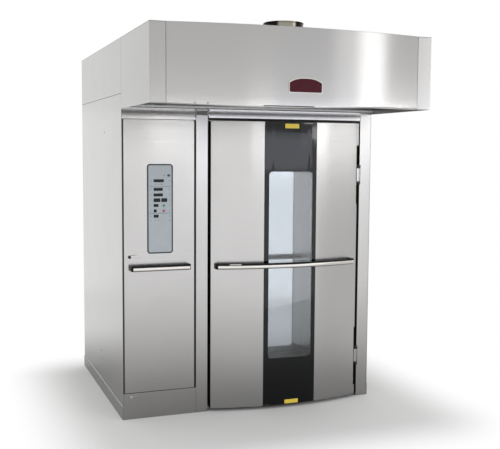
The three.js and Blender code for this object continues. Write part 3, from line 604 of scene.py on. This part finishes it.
# The chamber's sheets are duller than the outside, and its pane and lamp aren't of plain glass
for name in ("chamber_liner", "chamber_floor", "chamber_ceiling", "air_louvre_panel", "jamb_frame"):
    frame["nodes"][name].data.materials[0] = CHAMBER_STEEL
frame["nodes"]["door_inner_pane"].data.materials[0] = PANE
frame["nodes"]["chamber_lamp"].data.materials[0] = LAMP_LENS
# These sheets are folded over a wider radius
for name in ("hood_side_left", "hood_side_right", "mullion_post", "right_post"):
    frame["nodes"][name].modifiers["edges"].width = 0.002

# Main door


def door_outline(left, spans):
    """A skin's outline, whose right edge has a place of its own over each span of heights"""
    bottom, top = DOOR_HEIGHTS
    outline = [(left, bottom)]
    for edge, low, high in spans:
        outline += [(edge, low), (edge, high)]
    return outline + [(left, top)]


def main_door_face():
    bottom, top = DOOR_HEIGHTS
    (low, low_top), (high, high_top) = NOTCHES
    # The skin stops short of the hinged edge, and black rubber covers the rest of it; its black is partly
    # painted shade, for the dark of the hinged edge and its notches
    spans = [(1712, bottom, low), (1700, low, low_top), (1708, low_top, high),
             (1700, high, high_top), (1720, high_top, top)]
    for name, outline in (
        ("door_skin_left", door_outline(DOOR_EDGES[0], [(GLASS_EDGES[0] - 2, bottom, top)])),
        ("door_skin_right", door_outline(GLASS_EDGES[1] + 2, spans)),
    ):
        skin = face_sheet(outline, lambda x, z: bow(x), back=DOOR_BACK, spacing=24)
        piece(name + "_bowed", skin, BRUSHED, "main_door", [name], 1.6, 2.0)
    covers = []
    for edge, foot, head in ((1713.5, bottom, low), (1709.5, low_top, high), (1716.5, high_top, top)):
        covers.append(plate(square(edge, DOOR_EDGES[1] - 0.2, foot + 0.5, head - 0.5), -17, 27))
    # In the notches it lies deeper, and leaves room for the knuckle; there its black is painted shade,
    # standing in for the empty notches' shadow
    for low, high in NOTCHES:
        middle = (low + high) / 2
        for foot, head in ((low + 1, middle - 72), (middle + 72, high - 1)):
            covers.append(plate(square(1704.5, DOOR_EDGES[1] - 0.4, foot, head), 2, 26))
    rubber_and_shade_covers = join(*covers)
    piece("hinge_edge_rubber_and_shade", rubber_and_shade_covers, BLACK_SEAL, "main_door", (), 0.8)
    window = rounded(WINDOW, WINDOW_CORNER, 12)
    strip = square(*GLASS_EDGES, *DOOR_HEIGHTS)
    glass = face_sheet(strip, lambda x, z: bow(x), panes=[window], spacing=24)
    piece("door_glass_bowed", glass, [BLACK_GLASS, CLEAR_GLASS], "main_door",
          ["door_glass"], 0.0, 6.0)


def window_sill():
    """A rubber mat that lines the window tunnel's floor and its two lower corners. Its dark is partly a
    painted reflection, for the dark glass border that the sill mirrors.
    """
    left, right, bottom, _ = WINDOW
    middle = (left + right) / 2
    turns = [math.radians(180 + 7.5 * step) for step in range(13)]
    rows = []
    for gap in (0.4, 2.0):
        radius = WINDOW_CORNER - gap
        low_left = [(left + WINDOW_CORNER + radius * math.cos(t), WINDOW_CORNER + radius * math.sin(t))
                    for t in turns]
        rows.append(low_left + [(left + right - x, z) for x, z in low_left[::-1]])
    section = [(x - middle, z) for x, z in rows[0] + rows[1][::-1]]
    mat = swept([(middle, -86, bottom), (middle, 73.5, bottom)], section)
    piece("window_sill_mat", mat, SILICONE, "main_door")


def small_plates():
    """Blank yellow plates at the glass's ends, and the clips that hold its corners"""
    for name, box in (("upper_yellow_plate", (1112, 1216, 1957, 1988)),
                      ("lower_yellow_plate", (1126, 1228, 30, 58))):
        vinyl = face_sheet(rounded(box, 4), lambda x, z: bow(x, 0.8), spacing=12)
        piece(name, vinyl, YELLOW_PLATE, "main_door", (), 0.0, 0.7)
    for name, box in (("upper_glass_clip", (1252, 1322, 1988, 1997)),
                      ("lower_glass_clip", (980, 1012, 27, 36))):
        clip = face_sheet(rounded(box, 3), lambda x, z: bow(x, 2.2), spacing=12)
        piece(name, clip, DULL_STEEL, "main_door", (), 0.6, 2.0)


# Door pulls

GRIP_SECTION = [(-7, 3), (-7, 35), (-4, 38), (4, 38), (7, 35), (7, 3), (4, 0), (-4, 0)]
# The bar's face is round below and above, so it shows a bright crown and a dark underside
BAR_SECTION = [(-3.8, 4.0), (-3.8, 27.0), (-2.8, 28.0), (-0.4, 27.7), (1.6, 26.5), (3.0, 24.6),
               (3.7, 22.0), (3.8, 18.0), (3.8, 13.0), (3.6, 9.6), (2.8, 6.6), (1.4, 4.4),
               (-0.6, 3.2), (-2.8, 3.0)]


def pull(name, ends, bottom, face, body):
    """A black grip that bends back to the door at its ends, with a steel bar along its face"""
    start, end = ends
    reach = 51
    count = max(2, round((end - start) / 25))
    xs = [start + (end - start) * step / count for step in range(count + 1)]
    corners = [(start - 2, face(start - 2, 0.4)), (start - 5, face(start - 5, reach))]
    corners += [(x, face(x, reach)) for x in xs[1:-1]]
    corners += [(end + 5, face(end + 5, reach)), (end + 2, face(end + 2, 0.4))]
    path = [(x, y, bottom) for x, y in eased(corners, 16, 5)]
    piece(name + "_grip_moulded", swept(path, GRIP_SECTION), GRIP, body,
          [name + "_grip"], 1.2)
    bar_path = [(x, face(x, 62.2), bottom) for x in xs]
    piece(name + "_bar_formed", swept(bar_path, BAR_SECTION), POLISHED, body,
          [name + "_bar"], 0.5)


def pull_label():
    """A blank pale label on the long grip's face, above the bar"""
    label = face_sheet(rounded((712, 790, 1029.5, 1036), 1.5, 3), lambda x, z: bow(x, 58.2), spacing=12)
    piece("pull_blank_label", label, PALE_LABEL, "main_door", (), 0.0, 0.5)


# Hinges, their knuckles in the middle of the door's notches

KNUCKLE = 94


def hinge_knuckles():
    for name, notch in zip(("lower", "upper"), NOTCHES):
        low, high = sum(notch) / 2 - KNUCKLE / 2, sum(notch) / 2 + KNUCKLE / 2
        tube = [(4.0, 0), (5.6, 0), (6.5, 0.9), (6.5, KNUCKLE - 0.9), (5.6, KNUCKLE),
                (4.0, KNUCKLE), (4.0, 0)]
        barrel = turned(tube, (DOOR_EDGES[1], -12, low))
        leaf = plate(rounded((1712, 1726.5, low, high), 2), -16, 20)
        piece(name + "_knuckle_turned", join(barrel, leaf), BRUSHED, "main_door",
              [name + "_hinge_knuckle"], 0.6)


# Seals that fill the joints around the doors. Their dark is partly painted shade, for the shadow in those
# gaps.


def joint_seals():
    # The post's seal leaves room for the hinges' pins
    lower, upper = [(sum(notch) / 2 - 73, sum(notch) / 2 + 73) for notch in NOTCHES]
    spans = [(25, lower[0]), (lower[1], upper[0]), (upper[1], 2001)]
    # Each seal's boxes in x and z, its front and back, its rubber, its body and its rounding
    seals = {
        "door_edge_seal": ([(602.6, 604.7, 26, 1999)], -16, 27, BLACK_SEAL, "main_door", 0.5),
        "post_seal": ([(1736.5, 1740.7, *span) for span in spans], 3, 44, BLACK_SEAL, "oven", 0.5),
        "door_head_seal": ([(597, 1736, 2005.5, 2020)], 1, 12, SILICONE, "oven", 0.5),
        # Grey strips laid on the control door's face at its edges are painted shade, for the shadow gaps
        # beside the door
        "control_edge_shade_strips": (
            [(3.3, 13, 181, 2002), (493, 498.7, 181, 2002)], -1.4, -0.2, SILICONE, "control_door", 0.5),
        "mullion_seal": ([(505.6, 506.8, 181, 2003)], 3, 24, BLACK_SEAL, "oven", 0.3),
    }
    for name, (boxes, front, back, rubber, body, edges) in seals.items():
        shape = join(*(plate(square(*box), front, back) for box in boxes))
        piece(name, shape, rubber, body, (), edges)


# Control door


def control_panel():
    face, ink = -2.3, 0.15
    # Display windows: left, right, middle height and height
    windows = [
        (213, 283, 1600, 20), (213, 276, 1543, 20), (213, 276, 1506, 20), (213, 259, 1471, 25),
        (265, 306, 1471, 25), (213, 246, 1436, 20), (213, 234, 1400, 20), (213, 247, 1365, 20),
    ]
    holes = [rounded((l, r, m - h / 2, m + h / 2), 2, 3) for l, r, m, h in windows]
    keys = {"start": (282, 1435, "green_plastic"), "stop": (282, 1399, "red_plastic")}
    holes += [rounded((x - 8.2, x + 8.2, z - 8.2, z + 8.2), 8.19, 6) for x, z, _ in keys.values()]
    overlay = plate(rounded(PANEL, PANEL_CORNER), face, -0.3, holes)
    piece("overlay_face", overlay, OVERLAY, "control_door",
          ["control_panel_overlay"], 0.4)
    left, right, bottom, top = PANEL
    inner = rounded((left + 9, right - 9, bottom + 9, top - 9), PANEL_CORNER - 9)
    rim = plate(rounded(PANEL, PANEL_CORNER), -3.6, face, [inner])
    piece("overlay_rim", rim, OVERLAY_RIM, "control_door", (), 0.5)
    # Printed rules between the groups, a dot at each end of the rows, and the key marks
    marks = [plate(rounded((186, 329, z - 1.2, z + 1.2), 1.1, 2), face - ink, face) for z in (1560, 1384)]
    rows = (1600, 1543, 1506, 1471, 1436, 1400, 1365, 1334)
    dots = [(x, row, 2.6) for x in (195, 322) for row in rows]
    dots += [(285, 1635, 3), (226, 1577, 3), (248, 1577, 3), (268, 1577, 4)]
    dots += [(226, 1338, 2.5), (246, 1338, 2.5)]
    marks += [plate(rounded((x - r, x + r, z - r, z + r), r * 0.95, 4), face - ink, face)
              for x, z, r in dots]
    marks.append(plate(rounded((306, 327, 1627, 1643), 7, 5), face - 2 * ink, face))
    piece("overlay_print", join(*marks), PANEL_INK, "control_door")
    dome = [(0, -3.7), (3.5, -3.6), (5.8, -3.2), (6.8, -2.2), (7.0, -1.2), (7.0, 3.0), (0, 3.0)]
    for name, (x, z, slot) in keys.items():
        cap = turned(dome, (x, 0, z), "Y")
        piece(name + "_cap_domed", cap, SLOT_FINISH[slot], name + "_key_cap", [name + "_key"])


def latch():
    """A small arched lever on a dark spindle, whose cam stands up behind the door"""
    x, z = 50, 1097
    crown = [(-6, -1.5), (2, 1.5), (14, 6.5), (28, 9.0), (42, 8.0), (55, 3.0), (65, -5.5)]
    upper = [(x + a, z + b + 3.6 - 0.016 * a) for a, b in crown]
    lower = [(x + a, z + b - 3.6 + 0.016 * a) for a, b in crown]
    arm = plate(lower + upper[::-1], -13, -8.6)
    piece("latch_arm", arm, POLISHED, "latch", ["latch_lever"], 1.2)
    spindle = [(0, -15.5), (3.6, -15.5), (5.2, -14.4), (6.6, -12.5), (6.6, -5.0), (11, -4.6),
               (11, -0.3), (5.5, -0.3), (5.5, 37), (0, 37)]
    cam = plate(rounded((x - 8, x + 8, z - 8, z + 38), 4), 34, 37)
    piece("latch_spindle", join(turned(spindle, (x, 0, z), "Y"), cam), BLACK_STEEL, "latch",
          (), 0.5)


# Fascias over the doors, the attic's front and its drip lip, and the small pieces between the doors


def run(name, section, ends, finish, stands_for, edges=0.8):
    """A folded sheet of 2 mm: its section in y and z, run along x between its ends"""
    shape = bmesh.new()
    bridge(shape, [[shape.verts.new(at(x, y, z)) for y, z in section] for x in ends], closed=False)
    piece(name, shape, finish, "oven", stands_for, edges, 2.0)


def fascias():
    # Each face's ends, its foot, and how far it has leant back at a height of 2048. The upper part
    # of both leans back too, so the faces mirror the dark inside of the hood.
    faces = {
        "fascia_over_controls": ((3, 505.5), 2005, 1.2),
        "fascia_over_door": ((591.5, 1739.5), 2020.5, 0.0),
    }
    for name, (ends, foot, lean) in faces.items():
        face = [(28, foot), (1.2, foot), (0.5, foot + 0.8), (0.3, foot + 2.5), (lean, 2048),
                (lean + 0.3, 2051), (lean + 1.3, 2070), (lean + 1.1, 2072), (0.6, 2073.8),
                (0.3, 2075.5), (0, 2079), (28, 2080)]
        run(name + "_folded", face, ends, BRUSHED, [name], 0.4)


def attic_front():
    """The wall over the fascias, with a lip rolled forward so that water drips past the doors"""
    ends = (2.4, WIDTH - 2.4)
    wall = [(-1, 2086), (0, 2087), (0, HOOD_TOP - 0.4)]
    run("attic_front_wall", wall, ends, GALVANISED, ["attic_front_panel"])
    nose = [(2, 2082.2), (-25, 2082.2), (-28, 2082.9), (-29.2, 2085), (-29.9, 2097.6), (-29.3, 2099.6),
            (-27, 2099.8), (-24, 2097), (-23.5, 2088), (-20, 2086), (-1, 2086)]
    run("drip_lip_rolled", nose, ends, GALVANISED, (), 0.3)


def front_fasteners():
    """The plate and screws at the mullion's head, and the cap over the kick plate's screw"""
    # The plate's dark steel is partly painted shade, for the hood's shadow on the mullion's head
    head = plate(rounded((510, 587, 2037, 2066), 1.5, 3), -1.0, -0.2)
    piece("mullion_head_plate", head, DULL_STEEL, "oven", (), 0.3)
    button = [(0, -2.6), (3.0, -2.4), (4.6, -1.5), (5, -0.3), (0, -0.3)]
    screws = [turned(button, (x, 0, z), "Y", 20) for x in (503, 594) for z in (2028, 2073)]
    piece("mullion_head_screws", join(*screws), BLACK_STEEL, "oven")
    dome = [(0, -4.6), (5, -4.3), (9.5, -3.5), (11.8, -1.6), (12, -0.2), (0, -0.2)]
    cap = turned(dome, (56, 0, 150), "Y")
    piece("kick_plate_screw_cap", cap, GREY_NYLON, "oven")


# Hood


def hood_hem(x):
    """Height of the hood front's lower edge, which hangs up to 15 mm deeper left of its middle"""
    return HOOD_BOTTOM - 15.0 * max(0.0, 1 - ((x - 740) / 660) ** 2) ** 1.3


# Height of the hood front's hem
HEM = 9


def hood_front(x, z):
    """The bowed sheet's y, which rolls in over its hem"""
    rolled = max(0.0, (hood_hem(x) + HEM - z) / HEM)
    return hood_bow(x) + 3.0 * rolled ** 2


def plate_outline(inset):
    """The blank plate's outline: a flat foot, straight sides and an arched top"""
    left, right, bottom, crown = PLATE
    left, right, bottom, crown = left + inset, right - inset, bottom + inset, crown - inset
    foot = [(left, bottom + 7), (left + 2, bottom + 2), (left + 7, bottom),
            (right - 7, bottom), (right - 2, bottom + 2), (right, bottom + 7)]
    middle, half, rise = (left + right) / 2, (right - left) / 2, 25
    shares = [1 - step / 12 for step in range(25)]
    return foot + [(middle + half * t, crown - rise + rise * (1 - abs(t) ** 2.6)) for t in shares]


def hood_front_sheet():
    left, right = CORNER_STRIP + 2, WIDTH - CORNER_STRIP - 2
    across = [left + (right - left) * step / 30 for step in range(31)]
    flange = 28
    front = bmesh.new()
    # Lines from side to side: the foot's flange, the hem, the face and the head's flange
    lines = [[front.verts.new(at(x, hood_bow(x) + flange, hood_hem(x))) for x in across]]
    for rise in (0, 1.5, 3, 4.5, 6, 7.5, HEM, 60):
        places = [(x, hood_hem(x) + rise) for x in across]
        lines.append([front.verts.new(at(x, hood_front(x, z), z)) for x, z in places])
    for depth in (0, flange):
        lines.append([front.verts.new(at(x, hood_bow(x) + depth, HOOD_TOP)) for x in across])
    bridge(front, lines, closed=False)
    piece("hood_front_hemmed", front, BRUSHED, "oven", ["hood_front_panel"],
          1.2, 2.0)


def drip_tray_catch():
    """A dark slot above the hem, and two rivets to the left of it"""
    slot = [(x, hood_front(x, 2063) - 0.3, 2063) for x in range(660, 985, 20)]
    catch = swept(slot, [(-1.5, -3), (-1.5, 3), (0.5, 3), (0.5, -3)])
    piece("drip_tray_slot", catch, BLACK_STEEL, "oven")
    head = [(0, -1.6), (2.6, -1.4), (4, -0.4), (4, 5), (0, 5)]
    rivets = [turned(head, (x, hood_front(x, 2072), 2072), "Y", 20) for x in (258, 332)]
    piece("hood_hem_rivets", join(*rivets), BLACK_STEEL, "oven")


def flue_collar():
    ring = [(121, 2525.3), (148, 2525.3), (148, 2527.5), (130, 2529), (125, 2533), (124, 2538),
            (124, 2582), (126.5, 2585.5), (126.5, 2589.5), (124.5, 2591.8), (122.5, 2591.8), (121, 2589),
            (121, 2525.3)]
    collar = turned(ring, (*COLLAR, 0), steps=96)
    piece("flue_collar_spun", collar, FLUE_STEEL, "oven", ["flue_collar"])


def blank_plate():
    """A bare enamelled plate in a polished rim"""
    middle = plate_outline(6)
    face = face_sheet(middle, lambda x, z: hood_bow(x, 3.2), fold=2.2, spacing=30)
    rim = face_sheet(
        plate_outline(0), lambda x, z: hood_bow(x, 4.0), fold=3.7, holes=[middle], spacing=30)
    piece("blank_plate_face", face, RED_ENAMEL, "oven", ["blank_plate"], 0.8)
    piece("blank_plate_rim", rim, POLISHED, "oven", (), 0.9)


# Back and side sheets

# The y of the raised sheets' borders
BORDER = DEPTH - 2.6


def rear_sheet(left, right, low, high):
    """A sheet whose middle is pressed out to the back, past its border"""
    shape = bmesh.new()
    rings = []
    for inset, radius, y in ((0, 2, DEPTH - 9), (0, 2, BORDER), (34, 8, BORDER), (39, 11, DEPTH)):
        loop = rounded((left + inset, right - inset, low + inset, high - inset), radius)
        rings.append([shape.verts.new(at(x, y, z)) for x, z in loop])
    bridge(shape, rings)
    shape.faces.new(rings[-1])
    shape.faces.new(rings[0])
    return shape


def sheet_heads(left, right, low, high):
    """The places in x and z of the round heads along a sheet's border"""
    inset, end = 17, 60
    rows = [low + end + (high - low - 2 * end) * step / 5 for step in range(6)]
    columns = [left + end + (right - left - 2 * end) * step / 3 for step in range(4)]
    return ([(x, z) for x in (left + inset, right - inset) for z in rows]
            + [(x, z) for z in (low + inset, high - inset) for x in columns])


def back_and_sides():
    """Four raised sheets cover the back, and plugs fill three holes in the left side"""
    columns, rows = ((0.5, 914), (916, 1829.5)), ((2, 1258), (1262, 2519))
    boxes = [(*column, *row) for column in columns for row in rows]
    sheets = join(*(rear_sheet(*box) for box in boxes))
    piece("rear_sheets_raised", sheets, BRUSHED, "oven", ["rear_panel"], 0.6)
    head = [(0, 2.4), (2.6, 2.3), (4.2, 1.6), (4.8, -0.2), (0, -0.2)]
    heads = [turned(head, (x, BORDER, z), "Y", 16) for box in boxes for x, z in sheet_heads(*box)]
    piece("rear_sheet_heads", join(*heads), POLISHED, "oven")
    plug = [(0, -1.3), (3.4, -1.2), (4.6, -0.5), (5, 0.3), (0, 0.3)]
    plugs = [turned(plug, (0, y, z), "X", 20) for y, z in ((588, 1926), (747, 248), (784, 300))]
    piece("side_panel_plugs", join(*plugs), BLACK_STEEL, "oven")


main_door_face()
window_sill()
small_plates()
pull("control_pull", (61, 447), 1004, lambda x, offset: -offset, "control_door")
pull("door_pull", (635, 1652), 1000, bow, "main_door")
pull_label()
hinge_knuckles()
joint_seals()
control_panel()
latch()
fascias()
attic_front()
front_fasteners()
hood_front_sheet()
drip_tray_catch()
flue_collar()
blank_plate()
back_and_sides()

# Studio


def softbox(name, plane, corner, opposite, radiance, tint="#ffffff"):
    """A flat upright lamp at a y of the frame, between two corners in x and z. It lights the oven
    and is mirrored in it, and the camera doesn't see it."""
    lamp = bpy.data.lights.new(name, "AREA")
    lamp.shape = "RECTANGLE"
    lamp.color = colour(tint)[:3]
    low, high = Vector((corner[0], plane, corner[1])), Vector((opposite[0], plane, opposite[1]))
    middle = (low + high) / 2
    across = Vector((high.x - low.x, high.y - low.y, 0.0))
    lamp.size = across.length
    lamp.size_y = high.z - low.z
    # A lamp's power for a radiance of 1 is pi times its area
    lamp.energy = radiance * math.pi * lamp.size * lamp.size_y
    obj = bpy.data.objects.new(name, lamp)
    bpy.context.scene.collection.objects.link(obj)
    right = across.normalized()
    up = Vector((0.0, 0.0, 1.0))
    back = right.cross(up)
    obj.matrix_world = Matrix.Translation(middle) @ Matrix((right, up, back)).transposed().to_4x4()
    obj.visible_camera = False


# A low window wall in front of the oven, with bright transoms at the height of the doors' heads.
# They stand 10 mm before the wall, because lamps in one plane hide one another in a mirror.
WINDOW_WALL, TRANSOMS = -4.16, -4.15
softbox("low_window", WINDOW_WALL, (-3.2, 0.0), (3.2, 1.95), 0.64, "#fcfcff")
softbox("left_transom", TRANSOMS, (-1.4, 1.92), (0.2, 2.04), 3.3)
softbox("left_transom_end", TRANSOMS, (0.2, 1.92), (0.72, 2.04), 7.2)
softbox("middle_transom", TRANSOMS, (0.72, 1.585), (2.85, 2.02), 2.4, "#eaeeff")
softbox("right_transom", TRANSOMS, (2.85, 1.95), (3.7, 2.1), 6.5)
softbox("right_transom_end", TRANSOMS, (3.7, 1.95), (7.2, 2.1), 9.0)
# The bowed hood mirrors a tall window far to the right as a band, beside a half drawn blind
TALL_WALL = -6.16
softbox("tall_window", TALL_WALL, (4.35, 1.9), (5.65, 4.6), 2.0)
softbox("tall_window_blind", TALL_WALL, (3.3, 1.9), (4.35, 4.6), 0.45)
# A dim window behind, for the left side
softbox("left_window", 5.0, (-1.2, 0.0), (-3.6, 2.3), 0.12)

world = bpy.data.worlds.new("studio")
bpy.context.scene.world = world
world.use_nodes = True
sky = world.node_tree
# White for what the camera, metal and glass see, and a little less for what lights the oven
sight = add(sky, "LightPath").outputs
seen = sight["Is Camera Ray"]
for ray in ("Is Glossy Ray", "Is Transmission Ray"):
    seen = add(sky, "Math", {0: seen, 1: sight[ray]}, operation="MAXIMUM").outputs[0]
strength = add(sky, "MapRange", {0: seen, 3: 0.95, 4: 1.0}).outputs[0]
sky.links.new(strength, sky.nodes["Background"].inputs["Strength"])
sky.nodes["Background"].inputs["Color"].default_value = (1.0, 1.0, 1.0, 1.0)

floor_shape = bmesh.new()
bmesh.ops.create_circle(floor_shape, cap_ends=True, segments=96, radius=40.0)
floor_mesh = bpy.data.meshes.new("studio_floor")
floor_shape.to_mesh(floor_mesh)
floor_mesh.materials.append(PAPER)
studio_floor = bpy.data.objects.new("studio_floor", floor_mesh)
bpy.context.scene.collection.objects.link(studio_floor)

# Camera, fitted to the photograph: its place in metres, and its turn, tilt and roll in degrees

CAMERA_PLACE = (-2.049, -5.757, 1.796)
CAMERA_ANGLES = (20.556, 4.972, 0.360)

eye = bpy.data.cameras.new("photo_camera")
eye.sensor_width = 36.0
eye.lens = 60.3
camera = bpy.data.objects.new("photo_camera", eye)
bpy.context.scene.collection.objects.link(camera)
turn, tilt, roll = (math.radians(angle) for angle in CAMERA_ANGLES)
forward = Vector((math.sin(turn) * math.cos(tilt), math.cos(turn) * math.cos(tilt), -math.sin(tilt)))
level_right = Vector((math.cos(turn), -math.sin(turn), 0.0))
upright = level_right.cross(forward)
right = level_right * math.cos(roll) + upright * math.sin(roll)
up = upright * math.cos(roll) - level_right * math.sin(roll)
facing = Matrix((right, up, -forward)).transposed().to_4x4()
camera.matrix_world = Matrix.Translation(CAMERA_PLACE) @ facing
bpy.context.scene.camera = camera
bpy.context.scene.view_settings.view_transform = "Standard"
